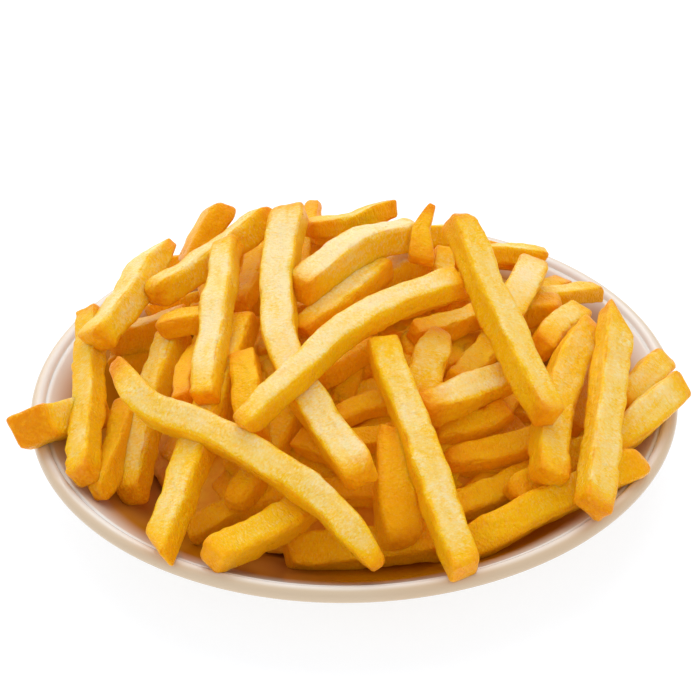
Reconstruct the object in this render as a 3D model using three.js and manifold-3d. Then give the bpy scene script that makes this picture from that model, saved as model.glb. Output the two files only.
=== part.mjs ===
// A portion of french fries heaped on the round white plate it is served on.
// Millimetres, +Z up, +X to the right and +Y to the back of the plate. The origin is the middle
// of the plate's foot, on the table. Two solids: the plate, and the heap as one body, which is a
// core dome with the fries that show fused on at their true size.
import * as THREE from 'three';
import { mergeVertices } from 'three/addons/utils/BufferGeometryUtils.js';
import Module from 'manifold-3d';

// ---------------------------------------------------------------- driving dimensions

// Plate
const PLATE_RADIUS = 95;
const PLATE_HEIGHT = 24;
const LIP_WIDTH = 4.4;
const WALL_THICKNESS = 4;
const FLOOR_RADIUS = 56;
const FLOOR_HEIGHT = 6;
const WALL_CURVE = 1.4;
const FOOT_RADIUS = 52;
const FOOT_WIDTH = 5;
const FOOT_RECESS = 1.8;
const PLATE_SEGMENTS = 48;

// Heap: the dome that its topmost fries reach, and the core dome inside it
const HEAP_TOP = 62;
const HEAP_EDGE = 32;
const HEAP_RADIUS = 92;
const BACK_STEEPNESS = 1.18;
const LEAN = 1.33;
const CORE_TOP = 42;
const CORE_EDGE = 10;
const CORE_RADIUS = 66;
const CORE_SEGMENTS = 40;
const PLATE_GAP = 0.35;

// Fries
const END_ROUNDING = 0.82;
const END_LENGTH = 2.2;
const FLATTEST = 0.86;
const BOW = 1.6;
const PRESSED = 0.83;

// Fries laid by rule: where a first try may lie, and how long each round of them is
const SEED = 21;
const DROP_STEP = 0.5;
const DOWN = new THREE.Vector3(0, 0, -1);
const SLIDE = new THREE.Vector3(0, 0.83, -0.56);
const SAMPLE = 2.5;
const RIM_REACH = 94;
const FRONT_EDGE = 16;
const FRONT_REACH = 56;
const BURIED = 9;
const BACK_EDGE = 46;
const LONGEST_SLIDE = 20;
const PROUD = 1.5;
const THINNEST = 6.5;
const THICKEST = 9.5;
const ROUNDS = [
  { tries: 20000, shortest: 58, longest: 84, deepest: 26 },
  { tries: 20000, shortest: 42, longest: 58, deepest: 26 },
  { tries: 20000, shortest: 26, longest: 42, deepest: 26 },
];

// ---------------------------------------------------------------- the fries that show
// Each is laid by hand: its thickness, then the points its middle line runs through.

const LEFT_SIDE = [
  [12, [-92.4, -27, 33], [-75, -6, 23]],
  [8, [-77, 22, 40], [-77, -44, 27]],
  [10, [-75, 2, 42], [-57, 51, 46]],
  [9.5, [-74, 25, 26], [-50, 29, 31]],
  [8, [-56, 9, 42], [-37, 12, 43]],
  [9.3, [-53, 13, 37], [-64, -41, 18]],
  [7.5, [-65, -10, 29], [-73, -46, 23]],
  [8.5, [-36, 32, 56], [-42, -33, 45]],
  [9, [-68, -17, 48], [-57, -32, 42], [-40, -43, 41], [-19, -60, 38], [-6, -73, 34], [5, -88, 29]],
  [9, [-59, 22, 44], [-23, 48, 56]],
  [9, [-48, 44, 41], [-38, 58, 53]],
  [7.5, [-26, 53, 44], [-34, 22, 40]],
  [9.5, [-31, 9, 44], [-54, -78, 27]],
  [9, [-72, 16, 24], [-49, 21, 29]],
];

const MIDDLE = [
  [10.3, [-17, 40, 62], [-21, 12, 54], [-19, -16, 48], [-9, -42, 43], [2, -67, 41]],
  [8.5, [-31, -48.5, 46.6], [-16, -33, 52], [-2, -19, 57], [14, -6, 58], [32, 4, 58]],
  [10, [-15, 8, 53.5], [3, 24, 58], [21, 34, 56]],
  [9, [-14, -2, 45.5], [10, 23, 52.5]],
  [9, [3, 14, 46.5], [24, 31, 50]],
  [7, [-12, 41, 54], [14, 52, 54]],
  [7, [-11, 59, 54], [-15, 31, 43]],
  [8, [-11, 43, 52], [9, 47, 52]],
  [6.5, [-22, 12, 41], [-2, 21, 43]],
  [8, [25, 30, 68], [21, 15, 58]],
  [6.5, [28, 31, 52], [26, 16, 48]],
];

const RIGHT_SIDE = [
  [9, [32, 21, 69], [54, -43, 42]],
  [10, [56, 33, 44], [43, -1, 45]],
  [7, [34, 46, 40], [60, 53, 34]],
  [9.5, [42, 17, 39], [63, 21, 36.5]],
  [6.5, [54, 30, 34], [76, 42, 28]],
  [8, [68, 17, 36.5], [55, -5, 39.5]],
  [10, [70, 6, 39], [61, -14, 37], [55, -38, 34], [53, -58, 32]],
  [9.5, [77, 2, 43], [64, -69, 30]],
  [8.5, [91.5, 4.5, 28], [76, -20, 29]],
  [10, [93.3, -13, 30], [71, -37, 27]],
  [7.5, [25, -43, 29], [56, -30, 27]],
  [8.5, [43, -53, 23], [69, -31, 24]],
  [6.5, [51, -32, 21], [70, -16, 21]],
  [7.5, [71, 5, 30], [62, -26, 26]],
  [9.5, [19, -38, 42], [45, -19, 40]],
  [7, [23, -42, 37], [44, -34, 39]],
  [6.5, [42, -33, 35], [50, -21, 38]],
  [10.5, [26, -4, 47], [18, -30, 38]],
  [7.5, [43, 12, 34], [29, -20, 39]],
  [7, [18, 1, 42], [41, 21, 36]],
  [10, [23, -74, 18.6], [80, -45, 28]],
  [8.5, [24, -55, 20], [53, -36, 19]],
];

const FRONT = [
  [9.5, [8, -18, 53], [28, -91, 27]],
  [12, [12, -45, 38], [12, -71, 21]],
  [10, [-20, -65, 15], [24, -64, 17]],
  [9.3, [-40, -83, 28], [-11, -58, 27]],
  [7, [-47, -55, 15], [-18, -49, 24]],
  [8.5, [-15, -23, 39], [-34, -56, 25]],
  [7, [-5, -34, 38], [14, -27, 38]],
  [6.5, [-6, -41, 34], [13, -38, 35]],
  [7.5, [-13, -52, 26], [10, -53, 25]],
  [7, [-16, -38, 33], [-1, -48, 29]],
  [8.5, [-12, -20, 41], [6, -8, 45]],
];

const SHOWN = [...LEFT_SIDE, ...MIDDLE, ...RIGHT_SIDE, ...FRONT];

// ---------------------------------------------------------------- seeded draws

let drawState = SEED;

// The next number from 0 to 1 of a linear congruential series.
function draw() {
  drawState = (Math.imul(drawState, 1664525) + 1013904223) >>> 0;
  return drawState / 4294967296;
}

function drawBetween(low, high) {
  return low + (high - low) * draw();
}

// ---------------------------------------------------------------- surfaces of revolution

// Height of the plate's upper surface at a radius: level floor, then a wall that steepens.
function plateTop(radius) {
  const wallRun = PLATE_RADIUS - LIP_WIDTH - FLOOR_RADIUS;
  const climb = THREE.MathUtils.clamp((radius - FLOOR_RADIUS) / wallRun, 0, 1);
  const wall = FLOOR_HEIGHT + (PLATE_HEIGHT - FLOOR_HEIGHT - 1) * climb ** WALL_CURVE;
  if (radius <= PLATE_RADIUS - LIP_WIDTH) return wall;
  return radius <= PLATE_RADIUS ? PLATE_HEIGHT : -PLATE_HEIGHT;
}

// A dome of parabolic section, from its top down to its edge.
function dome(radius, top, edge, edgeRadius) {
  return edge + (top - edge) * (1 - (radius / edgeRadius) ** 2);
}

// The height that the topmost fries reach at a place: the heap falls away faster at the back.
function heapSurface(x, y) {
  const radius = Math.hypot(x, y > 0 ? y * BACK_STEEPNESS : y);
  return dome(radius, HEAP_TOP, HEAP_EDGE, HEAP_RADIUS);
}

function coreSurface(radius) {
  return radius < CORE_RADIUS ? dome(radius, CORE_TOP, CORE_EDGE, CORE_RADIUS) : -CORE_TOP;
}

// Points of the plate's inner face from its middle to the foot of the lip, raised by a clearance.
function innerFace(clearance, steps = 9) {
  const points = [new THREE.Vector2(0, FLOOR_HEIGHT + clearance)];
  const wallEnd = PLATE_RADIUS - LIP_WIDTH;
  for (let i = 0; i <= steps; i += 1) {
    const radius = FLOOR_RADIUS + ((wallEnd - FLOOR_RADIUS) * i) / steps;
    points.push(new THREE.Vector2(radius, plateTop(radius) + clearance));
  }
  return points;
}

function turned(profile, segments) {
  return new THREE.LatheGeometry(profile, segments).rotateX(Math.PI / 2);
}

// The profile is walked from the underside outwards and back over the inner face to the axis.
function plateGeometry() {
  const footIn = FOOT_RADIUS - FOOT_WIDTH / 2;
  const footOut = FOOT_RADIUS + FOOT_WIDTH / 2;
  const underside = [
    new THREE.Vector2(0, FOOT_RECESS),
    new THREE.Vector2(footIn - 1.5, FOOT_RECESS),
    new THREE.Vector2(footIn, 0),
    new THREE.Vector2(footOut, 0),
    new THREE.Vector2(footOut + 2, FLOOR_HEIGHT - WALL_THICKNESS + 0.6),
  ];
  for (const radius of [66, 74, 82, 89]) {
    underside.push(new THREE.Vector2(radius + 2, plateTop(radius) - WALL_THICKNESS + 0.6));
  }
  const middle = PLATE_RADIUS - LIP_WIDTH / 2;
  const lip = [
    new THREE.Vector2(PLATE_RADIUS - 1, PLATE_HEIGHT - 4.2),
    new THREE.Vector2(PLATE_RADIUS, PLATE_HEIGHT - 2.6),
    new THREE.Vector2(PLATE_RADIUS - 0.4, PLATE_HEIGHT - 0.9),
    new THREE.Vector2(middle + 0.9, PLATE_HEIGHT),
    new THREE.Vector2(middle - 0.9, PLATE_HEIGHT - 0.1),
  ];
  const profile = [...underside, ...lip, ...innerFace(0).reverse()];
  return turned(profile, PLATE_SEGMENTS);
}

// ---------------------------------------------------------------- one fry

function makeFry(thickness, points) {
  const fry = { wide: thickness, thick: thickness * drawBetween(FLATTEST, 1) };
  fry.points = points.map((point) => new THREE.Vector3(...point));
  const bow = [drawBetween(-BOW, BOW), drawBetween(-BOW, BOW)];
  if (points.length === 2) {
    const middle = fry.points[0].clone().lerp(fry.points[1], 0.5);
    const [side, lift] = crossAxes(fry.points[1].clone().sub(fry.points[0]).normalize());
    middle.addScaledVector(side, bow[0]).addScaledVector(lift, bow[1]);
    fry.points.splice(1, 0, middle);
  }
  return fry;
}

// Two directions square to a fry's run: one level, one upright.
function crossAxes(run) {
  const side = new THREE.Vector3().crossVectors(run, new THREE.Vector3(0, 0, 1)).normalize();
  const lift = new THREE.Vector3().crossVectors(side, run);
  return [side, lift];
}

function middleLine(fry) {
  return new THREE.CatmullRomCurve3(fry.points, false, 'catmullrom', 0.5);
}

// A fry lies flat against the heap's slope: its roll turns its upper face to the dome's normal.
function slopeRoll(curve) {
  const middle = curve.getPoint(0.5);
  const steepness = (LEAN * 2 * (HEAP_TOP - HEAP_EDGE)) / HEAP_RADIUS ** 2;
  const normal = new THREE.Vector3(steepness * middle.x, steepness * middle.y, 1);
  const run = curve.getPoint(1).sub(curve.getPoint(0)).normalize();
  const [side, lift] = crossAxes(run);
  return Math.atan2(-normal.dot(side), normal.dot(lift));
}

// A four-sided bar carried along the middle line, drawn in at both ends.
function fryGeometry(fry) {
  const curve = middleLine(fry);
  const length = curve.getLength();
  const inset = END_LENGTH / length;
  const bends = fry.points.length > 3 ? [0.2, 0.4, 0.6, 0.8] : [0.5];
  const stations = [0, inset, ...bends, 1 - inset, 1];
  const roll = slopeRoll(curve);
  const vertices = [];
  for (const station of stations) {
    const centre = curve.getPoint(station);
    const [side, lift] = crossAxes(curve.getTangent(station));
    const size = station === 0 || station === 1 ? END_ROUNDING : 1;
    for (const [across, up] of [[-1, -1], [1, -1], [1, 1], [-1, 1]]) {
      const x = (across * fry.wide * size) / 2;
      const y = (up * fry.thick * size) / 2;
      const corner = centre.clone();
      corner.addScaledVector(side, x * Math.cos(roll) - y * Math.sin(roll));
      corner.addScaledVector(lift, x * Math.sin(roll) + y * Math.cos(roll));
      vertices.push(...corner.toArray());
    }
  }
  const last = (stations.length - 1) * 4;
  const triangles = [0, 1, 2, 0, 2, 3, last, last + 2, last + 1, last, last + 3, last + 2];
  for (let ring = 0; ring < last; ring += 4) {
    for (let corner = 0; corner < 4; corner += 1) {
      const a = ring + corner;
      const b = ring + ((corner + 1) % 4);
      triangles.push(a, a + 4, b + 4, a, b + 4, b);
    }
  }
  const geometry = new THREE.BufferGeometry();
  geometry.setAttribute('position', new THREE.Float32BufferAttribute(vertices, 3));
  geometry.setIndex(triangles);
  return geometry;
}

// ---------------------------------------------------------------- fries laid by rule

// Points along a fry's middle line, about a sample's length apart.
function samples(fry) {
  const reach = fry.points[0].distanceTo(fry.points[fry.points.length - 1]);
  return middleLine(fry).getPoints(Math.ceil(reach / SAMPLE));
}

const halfSize = (fry) => (fry.wide + fry.thick) / 4;

// Whether points of a fry stay above the plate.
function isOverPlate(points, half) {
  return points.every((point) => {
    const radius = Math.hypot(point.x, point.y);
    return point.z >= plateTop(radius) + half + PLATE_GAP;
  });
}

// Whether points of a fry touch neither the core nor any laid fry.
function isFree(points, half, laid) {
  for (const point of points) {
    const radius = Math.hypot(point.x, point.y);
    if (point.z < coreSurface(radius) + half * PRESSED - 1) return false;
  }
  for (const other of laid) {
    const reach = ((half + other.half) * PRESSED) ** 2;
    for (const point of points) {
      for (const near of other.points) {
        if (point.distanceToSquared(near) < reach) return false;
      }
    }
  }
  return true;
}

// A fry may lie as high as the heap's dome at the back, and must be buried where the front shows.
function staysInside(points, half) {
  return points.every((point) => {
    const radius = Math.hypot(point.x, point.y);
    if (radius > (point.y > FRONT_EDGE ? RIM_REACH - half : FRONT_REACH)) return false;
    const room = point.y > BACK_EDGE ? PROUD : -BURIED;
    return point.z < heapSurface(point.x, point.y) + room;
  });
}

// A first try for a fry: somewhere below the heap's dome, along its slope.
function firstTry(round) {
  const angle = drawBetween(0, 2 * Math.PI);
  const radius = HEAP_RADIUS * Math.sqrt(draw());
  const depth = drawBetween(0, round.deepest);
  const heading = drawBetween(0, Math.PI);
  const tilt = drawBetween(-0.3, 0.3);
  const reach = drawBetween(round.shortest, round.longest) / 2;
  const thickness = drawBetween(THINNEST, THICKEST);
  const x = radius * Math.cos(angle);
  const y = radius * Math.sin(angle);
  const steepness = (2 * (HEAP_TOP - HEAP_EDGE)) / HEAP_RADIUS ** 2;
  const rise = tilt - steepness * (x * Math.cos(heading) + y * Math.sin(heading));
  const run = new THREE.Vector3(Math.cos(heading), Math.sin(heading), rise).setLength(reach);
  const middle = new THREE.Vector3(x, y, heapSurface(x, y) - depth);
  const ends = [middle.clone().sub(run).toArray(), middle.clone().add(run).toArray()];
  return makeFry(thickness, ends);
}

// Moves a fry in steps along a direction until it meets the core, the plate or a laid fry, and
// says whether it rests on the core or a fry.
function letDown(fry, laid, direction, furthest) {
  const half = halfSize(fry);
  const step = direction.clone().multiplyScalar(DROP_STEP);
  let points = samples(fry);
  for (let moved = 0; moved < furthest && isFree(points, half, laid); moved += DROP_STEP) {
    const next = points.map((point) => point.clone().add(step));
    if (!isOverPlate(next, half)) return false;
    points = next;
    for (const point of fry.points) point.add(step);
  }
  return true;
}

// Fries laid by rule go in wherever a try starts clear of all others and comes to rest on one.
function layByRule(shown) {
  const laid = shown.map((fry) => ({ points: samples(fry), half: halfSize(fry) }));
  const added = [];
  for (const round of ROUNDS) {
    for (let i = 0; i < round.tries; i += 1) {
      const fry = firstTry(round);
      const points = samples(fry);
      const half = halfSize(fry);
      if (!staysInside(points, half) || !isOverPlate(points, half)) continue;
      if (!isFree(points, half, laid) || !letDown(fry, laid, DOWN, HEAP_TOP)) continue;
      laid.push({ points: samples(fry), half });
      added.push(fry);
    }
  }
  return added;
}

// The fries laid by hand slide back, in turn from the lowest up, until they rest on others.
function settle(shown, added) {
  const height = (fry) => fry.points[0].z + fry.points[fry.points.length - 1].z;
  const laid = added.map((fry) => ({ points: samples(fry), half: halfSize(fry) }));
  for (const fry of [...shown].sort((a, b) => height(a) - height(b))) {
    letDown(fry, laid, SLIDE, LONGEST_SLIDE);
    laid.push({ points: samples(fry), half: halfSize(fry) });
  }
}

// ---------------------------------------------------------------- joining

const wasm = await Module();
wasm.setup();

function toSolid(geometry) {
  const bare = geometry.clone();
  bare.deleteAttribute('normal');
  bare.deleteAttribute('uv');
  const merged = mergeVertices(bare, 1e-4);
  const vertProperties = Float32Array.from(merged.getAttribute('position').array);
  const triVerts = Uint32Array.from(merged.getIndex().array);
  return new wasm.Manifold(new wasm.Mesh({ numProp: 3, vertProperties, triVerts }));
}

// Volume inside the surface that belongs to one set of triangles; negative for a sealed hollow.
function enclosedVolume(mesh, triangles) {
  const corner = (vertex) => new THREE.Vector3().fromArray(mesh.vertProperties, vertex * 3);
  let sum = 0;
  for (const triangle of triangles) {
    const [a, b, c] = mesh.triVerts.slice(triangle * 3, triangle * 3 + 3);
    sum += corner(a).dot(corner(b).cross(corner(c))) / 6;
  }
  return sum;
}

// The triangles of a mesh, in groups that share vertices.
function shells(mesh) {
  const parent = Array.from({ length: mesh.vertProperties.length / 3 }, (_, i) => i);
  const root = (vertex) => {
    let top = vertex;
    while (parent[top] !== top) top = parent[top];
    parent[vertex] = top;
    return top;
  };
  for (let i = 0; i < mesh.triVerts.length; i += 3) {
    const [a, b, c] = mesh.triVerts.slice(i, i + 3);
    parent[root(b)] = root(a);
    parent[root(c)] = root(a);
  }
  const groups = new Map();
  for (let i = 0; i < mesh.triVerts.length / 3; i += 1) {
    const top = root(mesh.triVerts[i * 3]);
    if (!groups.has(top)) groups.set(top, []);
    groups.get(top).push(i);
  }
  return [...groups.values()];
}

// The largest shell alone: sealed hollows are filled and loose scraps dropped with the others.
function largestShell(solid) {
  const mesh = solid.getMesh();
  const groups = shells(mesh);
  const volumes = groups.map((triangles) => enclosedVolume(mesh, triangles));
  const kept = groups[volumes.indexOf(Math.max(...volumes))];
  const index = kept.flatMap((triangle) => [...mesh.triVerts.slice(triangle * 3, triangle * 3 + 3)]);
  const geometry = new THREE.BufferGeometry();
  geometry.setAttribute('position', new THREE.Float32BufferAttribute(mesh.vertProperties, 3));
  geometry.setIndex(index);
  return geometry;
}

// ---------------------------------------------------------------- the heap

// The core stands on the plate's floor and inner wall and rises to its dome.
function coreGeometry() {
  const steps = 8;
  const base = innerFace(PLATE_GAP).filter((point) => point.x < CORE_RADIUS);
  const crown = [];
  for (let i = steps; i >= 0; i -= 1) {
    const radius = (CORE_RADIUS * i) / steps;
    crown.push(new THREE.Vector2(radius, coreSurface(Math.min(radius, CORE_RADIUS - 0.01))));
  }
  crown[0].y = Math.max(crown[0].y, plateTop(CORE_RADIUS) + 2);
  return turned([...base, ...crown], CORE_SEGMENTS);
}

// All that the heap may not touch: the plate grown by the gap, as a ring closed on the axis.
function plateClearance() {
  const outside = [
    new THREE.Vector2(0, -1),
    new THREE.Vector2(PLATE_RADIUS + PLATE_GAP, -1),
    new THREE.Vector2(PLATE_RADIUS + PLATE_GAP, PLATE_HEIGHT + PLATE_GAP),
    new THREE.Vector2(PLATE_RADIUS - LIP_WIDTH / 2 - 1, PLATE_HEIGHT + PLATE_GAP),
  ];
  return turned([...outside, ...innerFace(PLATE_GAP).reverse()], PLATE_SEGMENTS);
}

function heapGeometry() {
  const shown = SHOWN.map(([thickness, ...points]) => makeFry(thickness, points));
  const added = layByRule(shown);
  settle(shown, added);
  let heap = toSolid(coreGeometry());
  for (const fry of [...shown, ...added]) heap = heap.add(toSolid(fryGeometry(fry)));
  heap = heap.subtract(toSolid(plateClearance()));
  return largestShell(heap);
}

// ---------------------------------------------------------------- the object

const glazedWhite = new THREE.MeshStandardMaterial({ color: 0xf2ede8, roughness: 0.18, metalness: 0 });
const friedPotato = new THREE.MeshStandardMaterial({ color: 0xf2b84a, roughness: 0.55, metalness: 0 });

const plate = new THREE.Mesh(plateGeometry(), glazedWhite);
plate.name = 'plate';

const heap = new THREE.Mesh(heapGeometry(), friedPotato);
heap.name = 'fries';

const portion = new THREE.Group();
portion.add(plate, heap);

export default portion;
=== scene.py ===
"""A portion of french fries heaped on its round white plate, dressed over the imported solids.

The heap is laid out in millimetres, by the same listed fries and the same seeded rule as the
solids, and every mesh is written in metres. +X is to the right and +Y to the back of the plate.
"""

import math
from typing import NamedTuple

import bpy
import numpy as np
from mathutils import Matrix, Vector


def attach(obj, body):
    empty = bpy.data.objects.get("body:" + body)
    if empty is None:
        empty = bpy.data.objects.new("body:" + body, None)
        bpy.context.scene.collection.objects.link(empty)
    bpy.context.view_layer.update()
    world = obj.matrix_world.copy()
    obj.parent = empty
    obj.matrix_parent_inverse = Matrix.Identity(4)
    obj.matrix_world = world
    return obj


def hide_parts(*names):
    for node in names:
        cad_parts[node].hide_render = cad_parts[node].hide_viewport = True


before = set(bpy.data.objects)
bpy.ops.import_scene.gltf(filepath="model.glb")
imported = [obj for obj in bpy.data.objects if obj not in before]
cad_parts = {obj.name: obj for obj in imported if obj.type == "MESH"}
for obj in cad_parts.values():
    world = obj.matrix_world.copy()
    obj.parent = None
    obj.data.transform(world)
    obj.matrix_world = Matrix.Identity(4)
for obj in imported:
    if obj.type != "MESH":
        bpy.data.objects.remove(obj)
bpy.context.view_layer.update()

MM = 0.001

# ---------------------------------------------------------------- plate

PLATE_RADIUS = 95.0
PLATE_HEIGHT = 24.0
LIP_WIDTH = 4.4
LIP_ROUND = 2.2
LIP_BENDS = (-0.35 * math.pi, 0.93 * math.pi)
LIP_JOIN = 0.3
LIP_RINGS = 22
WALL_THICKNESS = 4.0
WALL_THINNING = 0.6
WALL_SHIFT = 2.0
WALL_CURVE = 1.4
WALL_RINGS = 34
FLOOR_RADIUS = 56.0
FLOOR_HEIGHT = 6.0
FLOOR_RINGS = [48, 36, 24, 12, 0]
FOOT_RADII = [0, 30, 45, 48.2, 49, 49.5, 50.3, 53.7, 54.4, 54.8, 55.3, 56]
FOOT_HEIGHTS = [1.8, 1.8, 1.8, 1.7, 1.2, 0.4, 0, 0, 0.35, 1.0, 1.7, 2.15]
UNDERSIDE_START = 57.0
UNDERSIDE_END = 92.0
UNDERSIDE_RINGS = 26
PLATE_SEGMENTS = 192

# Painted shade and reflection of the fries cover the inner face in amber inside a reach, and fade
# out over the last millimetres up to it. Painted shade lies beige on the lip's outer side, fades
# over its top, and lies partly below.
FRY_SHADE_REACH = 90.5
FRY_SHADE_FADE = 9.0
LIP_SHADE_FROM = 0.58 * math.pi
LIP_SHADE_FADE = 0.23 * math.pi
SHADE_BELOW_LIP = 0.4

# ---------------------------------------------------------------- heap

# The dome that the topmost fries reach, and the core's dome under them.
HEAP_TOP = 62.0
HEAP_EDGE = 32.0
HEAP_RADIUS = 92.0
BACK_STEEPNESS = 1.18
LEAN = 1.33
CORE_TOP = 42.0
CORE_EDGE = 10.0
CORE_RADIUS = 66.0

# A fry's least thickness against its width, its bow, how near two middle lines may come, and how
# far a fry sinks in the core. Gaps are what food keeps from the plate: while let down, and at rest.
FLATTEST = 0.86
BOW = 1.6
PRESSED = 0.83
CORE_SINK = 1.0
PLATE_GAP = 0.35
REST_GAP = 0.1

# How fries are let down, and where those laid by rule may lie.
SEED = 21
SAMPLE = 2.5
DROP_STEP = 0.5
DOWN = np.array([0.0, 0.0, -1.0])
SLIDE = np.array([0.0, 0.83, -0.56])
LONGEST_SLIDE = 20.0
FRONT_EDGE = 16.0
FRONT_REACH = 56.0
RIM_REACH = 94.0
BACK_EDGE = 46.0
BURIED = 9.0
PROUD = 1.5
DEEPEST = 26.0
TILT = 0.3
THINNEST = 6.5
THICKEST = 9.5
TRIES = 20000
ROUND_LENGTHS = [(58.0, 84.0), (42.0, 58.0), (26.0, 42.0)]
RULE_GOLD = (0.3, 0.9)

# Each fry that shows: its thickness, how golden it is fried from 0 to 1, the cut of its two ends,
# and the points that its middle line runs through.
LEFT_SIDE = [
    (12, 0.30, "counter square", (-92.4, -27, 33), (-75, -6, 23)),
    (8, 0.50, "square square", (-77, 22, 40), (-77, -44, 27)),
    (10, 0.35, "square point", (-75, 2, 42), (-57, 51, 46)),
    (9.5, 0.55, "square square", (-74, 25, 26), (-50, 29, 31)),
    (8, 0.50, "brown square", (-56, 9, 42), (-37, 12, 43)),
    (9.3, 0.30, "square square", (-53, 13, 37), (-64, -41, 18)),
    (7.5, 0.75, "square round", (-65, -10, 29), (-73, -46, 23)),
    (8.5, 0.35, "square square", (-36, 32, 56), (-42, -33, 45)),
    (9, 0.42, "tip point", (-68, -17, 48), (-57, -32, 42), (-40, -43, 41),
     (-19, -60, 38), (-6, -73, 34), (5, -88, 29)),
    (9, 0.35, "round brown", (-59, 22, 44), (-23, 48, 56)),
    (9, 0.7, "square round", (-48, 44, 41), (-38, 58, 53)),
    (7.5, 0.75, "square square", (-26, 53, 44), (-34, 22, 40)),
    (9.5, 0.50, "square slant", (-31, 9, 44), (-54, -78, 27)),
    (9, 0.55, "square square", (-72, 16, 24), (-49, 21, 29)),
]

MIDDLE = [
    (10.3, 0.30, "round round", (-17, 40, 62), (-21, 12, 54), (-19, -16, 48), (-9, -42, 43),
     (2, -67, 41)),
    (8.5, 0.40, "round square", (-31, -48.5, 46.6), (-16, -33, 52), (-2, -19, 57), (14, -6, 58),
     (32, 4, 58)),
    (10, 0.22, "square round", (-15, 8, 53.5), (3, 24, 58), (21, 34, 56)),
    (9, 0.40, "square square", (-14, -2, 45.5), (10, 23, 52.5)),
    (9, 0.35, "square square", (3, 14, 46.5), (24, 31, 50)),
    (7, 0.60, "square square", (-12, 41, 54), (14, 52, 54)),
    (7, 0.80, "point square", (-11, 59, 54), (-15, 31, 43)),
    (8, 0.40, "square square", (-11, 43, 52), (9, 47, 52)),
    (6.5, 0.7, "square square", (-22, 12, 41), (-2, 21, 43)),
    (8, 0.75, "spike square", (25, 30, 68), (21, 15, 58)),
    (6.5, 0.45, "square square", (28, 31, 52), (26, 16, 48)),
]

RIGHT_SIDE = [
    (9, 0.45, "round square", (32, 21, 69), (54, -43, 42)),
    (10, 0.28, "round square", (56, 33, 44), (43, -1, 45)),
    (7, 0.50, "square square", (34, 46, 40), (60, 53, 34)),
    (9.5, 0.90, "square brown", (42, 17, 39), (63, 21, 36.5)),
    (6.5, 0.50, "square square", (54, 30, 34), (76, 42, 28)),
    (8, 0.40, "square square", (68, 17, 36.5), (55, -5, 39.5)),
    (10, 0.50, "round square", (70, 6, 39), (61, -14, 37), (55, -38, 34), (53, -58, 32)),
    (9.5, 0.42, "slant square", (77, 2, 43), (64, -69, 30)),
    (8.5, 0.45, "round square", (91.5, 4.5, 28), (76, -20, 29)),
    (10, 0.38, "square square", (93.3, -13, 30), (71, -37, 27)),
    (7.5, 0.70, "brown square", (25, -43, 29), (56, -30, 27)),
    (8.5, 0.60, "round square", (43, -53, 23), (69, -31, 24)),
    (6.5, 0.65, "square square", (51, -32, 21), (70, -16, 21)),
    (7.5, 0.75, "square square", (71, 5, 30), (62, -26, 26)),
    (9.5, 0.25, "brown square", (19, -38, 42), (45, -19, 40)),
    (7, 0.70, "square square", (23, -42, 37), (44, -34, 39)),
    (6.5, 0.60, "square square", (42, -33, 35), (50, -21, 38)),
    (10.5, 0.35, "point square", (26, -4, 47), (18, -30, 38)),
    (7.5, 0.50, "square square", (43, 12, 34), (29, -20, 39)),
    (7, 0.50, "square square", (18, 1, 42), (41, 21, 36)),
    (10, 0.62, "tip brown", (23, -74, 18.6), (80, -45, 28)),
    (8.5, 0.65, "square square", (24, -55, 20), (53, -36, 19)),
]

FRONT = [
    (9.5, 0.45, "square square", (8, -18, 53), (28, -91, 27)),
    (12, 0.85, "square round", (12, -45, 38), (12, -71, 21)),
    (10, 0.65, "square square", (-20, -65, 15), (24, -64, 17)),
    (9.3, 0.60, "square square", (-40, -83, 28), (-11, -58, 27)),
    (7, 0.80, "square square", (-47, -55, 15), (-18, -49, 24)),
    (8.5, 0.60, "square round", (-15, -23, 39), (-34, -56, 25)),
    (7, 0.75, "square square", (-5, -34, 38), (14, -27, 38)),
    (6.5, 0.80, "square square", (-6, -41, 34), (13, -38, 35)),
    (7.5, 0.80, "square square", (-13, -52, 26), (10, -53, 25)),
    (7, 0.80, "square square", (-16, -38, 33), (-1, -48, 29)),
    (8.5, 0.70, "square square", (-12, -20, 41), (6, -8, 45)),
]

SHOWN = LEFT_SIDE + MIDDLE + RIGHT_SIDE + FRONT

# ---------------------------------------------------------------- shape and colour of a fry


class End(NamedTuple):
    """How a fry ends. From a reach, or a share of a short fry, it narrows and flattens by powers of
    the way gone, and drops. It is cut at a slant, and browned against a plain end."""

    reach: float = 7.0
    share: float = 1.0
    narrowing: float = 0.05
    narrowing_power: float = 1.0
    flattening: float = 0.05
    flattening_power: float = 1.0
    drop: float = 0.0
    slant: float = 0.0
    browning: float = 1.0


ROUNDED = (4.5, 1.0, 0.3, 2.2, 0.3, 2.2)
POINTED = (15.0, 0.4, 0.45, 1.5, 0.6, 1.2, 0.5)
ENDS = {
    "square": End(),
    "slant": End(slant=-1.2),
    "counter": End(slant=0.4),
    "round": End(*ROUNDED),
    "brown": End(*ROUNDED, browning=1.6),
    "point": End(*POINTED, browning=1.2),
    "tip": End(*POINTED, browning=1.6),
    "spike": End(22.0, 0.9, 0.7, 1.0, 0.7, 1.0, browning=1.3),
}

# The section: places on one side of the square, the power that rounds its corners, how deep its
# faces are sunk, and how sharply an edge ends.
ROUND_SIDES = [-1.0, -0.88, -0.62, -0.22, 0.22, 0.62, 0.88]
CORNER_POWER = (4.5, 9.0)
FACE_SINK = (0.02, 0.1)
EDGE_SHARPNESS = 6

# The rings: how many a fry has, how the ones at a cut are spaced, and the sizes of those on it.
STATIONS = 50
DEEP_STATIONS = 12
CUT_ROUNDING = 0.9
CUT_DRAWN_IN = 0.16
CUT_SPACING = np.array([0.0, 0.5, 1.2])
CUT_CLEAR = 2.2
CAP_RINGS = [0.0, 0.35, 0.68, 0.9]

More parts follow.
